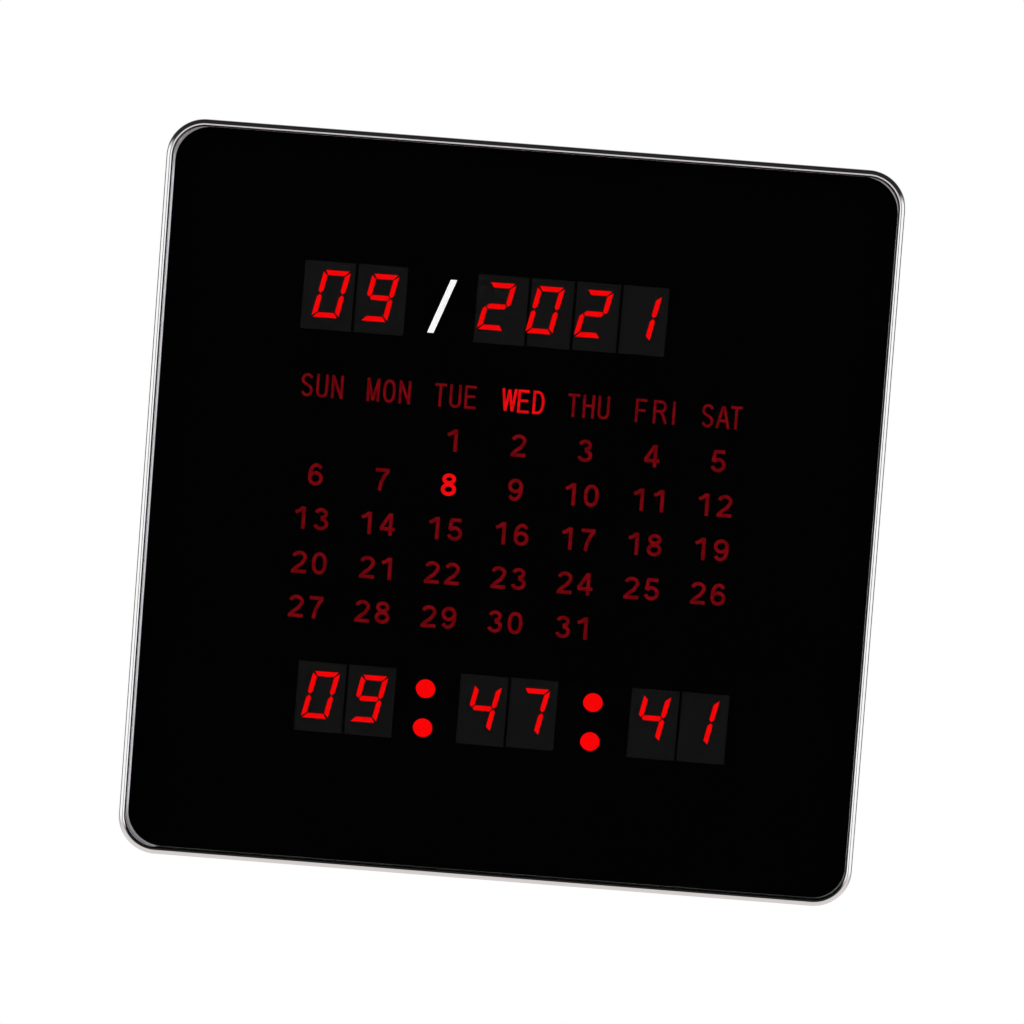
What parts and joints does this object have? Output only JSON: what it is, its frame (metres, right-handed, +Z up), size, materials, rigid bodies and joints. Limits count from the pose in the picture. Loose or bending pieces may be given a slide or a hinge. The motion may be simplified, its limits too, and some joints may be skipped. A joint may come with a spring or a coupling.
{
  "type": "digital wall clock",
  "caption": "Square red-LED digital wall clock with a perpetual calendar, glossy black face and slim bright bezel, hung on keyholes.",
  "frame": {"origin": "middle of the rear face, on the wall that the clock hangs on", "axes": "+Y into the wall, so the face looks along -Y; +Z up; +X to the right as the face is read"},
  "size_m": [0.19, 0.028, 0.19],
  "materials": {
    "clear_acrylic": "gloss",
    "black_print": "gloss",
    "bright_plating": "polished",
    "black_abs": "matte",
    "grey_abs": "satin",
    "white_abs": "satin",
    "diffuser_film": "matte",
    "red_resin": "satin",
    "red_lamp": "gloss",
    "board": "satin",
    "component_black": "satin",
    "button_rubber": "matte",
    "capacitor_sleeve": "gloss",
    "steel": "satin"
  },
  "bodies": {
    "case": {"front_panel": "clear_acrylic", "mask_sheet": "black_print", "bezel_frame": "bright_plating", "rear_cover": "black_abs", "display_board": "board", "calendar_light_box": "white_abs", "calendar_diffuser": "diffuser_film", "upper_digit_frame": "grey_abs", "lower_digit_frame": "grey_abs", "month_tens_digit_case": "grey_abs", "month_tens_digit_lens": "red_resin", "month_ones_digit_case": "grey_abs", "month_ones_digit_lens": "red_resin", "year_thousands_digit_case": "grey_abs", "year_thousands_digit_lens": "red_resin", "year_hundreds_digit_case": "grey_abs", "year_hundreds_digit_lens": "red_resin", "year_tens_digit_case": "grey_abs", "year_tens_digit_lens": "red_resin", "year_ones_digit_case": "grey_abs", "year_ones_digit_lens": "red_resin", "hours_tens_digit_case": "grey_abs", "hours_tens_digit_lens": "red_resin", "hours_ones_digit_case": "grey_abs", "hours_ones_digit_lens": "red_resin", "minutes_tens_digit_case": "grey_abs", "minutes_tens_digit_lens": "red_resin", "minutes_ones_digit_case": "grey_abs", "minutes_ones_digit_lens": "red_resin", "seconds_tens_digit_case": "grey_abs", "seconds_tens_digit_lens": "red_resin", "seconds_ones_digit_case": "grey_abs", "seconds_ones_digit_lens": "red_resin", "first_colon_upper_lamp": "red_lamp", "first_colon_lower_lamp": "red_lamp", "second_colon_upper_lamp": "red_lamp", "second_colon_lower_lamp": "red_lamp", "set_switch_body": "component_black", "up_switch_body": "component_black", "down_switch_body": "component_black", "coin_cell": "steel", "coin_cell_holder": "white_abs", "dc_jack": "component_black", "buzzer": "component_black", "control_chip": "component_black", "driver_chip": "component_black", "reservoir_capacitor": "capacitor_sleeve", "cover_screw_upper_left": "steel", "cover_screw_upper_right": "steel", "cover_screw_lower_left": "steel", "cover_screw_lower_right": "steel", "board_screw_left": "steel", "board_screw_right": "steel"},
    "set_button": {"set_button": "button_rubber", "set_switch_plunger": "white_abs"},
    "up_button": {"up_button": "button_rubber", "up_switch_plunger": "white_abs"},
    "down_button": {"down_button": "button_rubber", "down_switch_plunger": "white_abs"},
    "battery_door": {"battery_door": "black_abs"}
  },
  "joints": [
    {"name": "set_button_press", "type": "slide", "parent": "case", "child": "set_button", "axis": [0, -1, 0], "range_m": [0, 0.0005], "stiffness_N_per_m": 3000},
    {"name": "up_button_press", "type": "slide", "parent": "case", "child": "up_button", "axis": [0, -1, 0], "range_m": [0, 0.0005], "stiffness_N_per_m": 3000},
    {"name": "down_button_press", "type": "slide", "parent": "case", "child": "down_button", "axis": [0, -1, 0], "range_m": [0, 0.0005], "stiffness_N_per_m": 3000},
    {"name": "battery_door_hinge", "type": "hinge", "parent": "case", "child": "battery_door", "pos_m": [0.038, -0.0014, 0.0067], "axis": [1, 0, 0], "range_deg": [0, 85]}
  ]
}
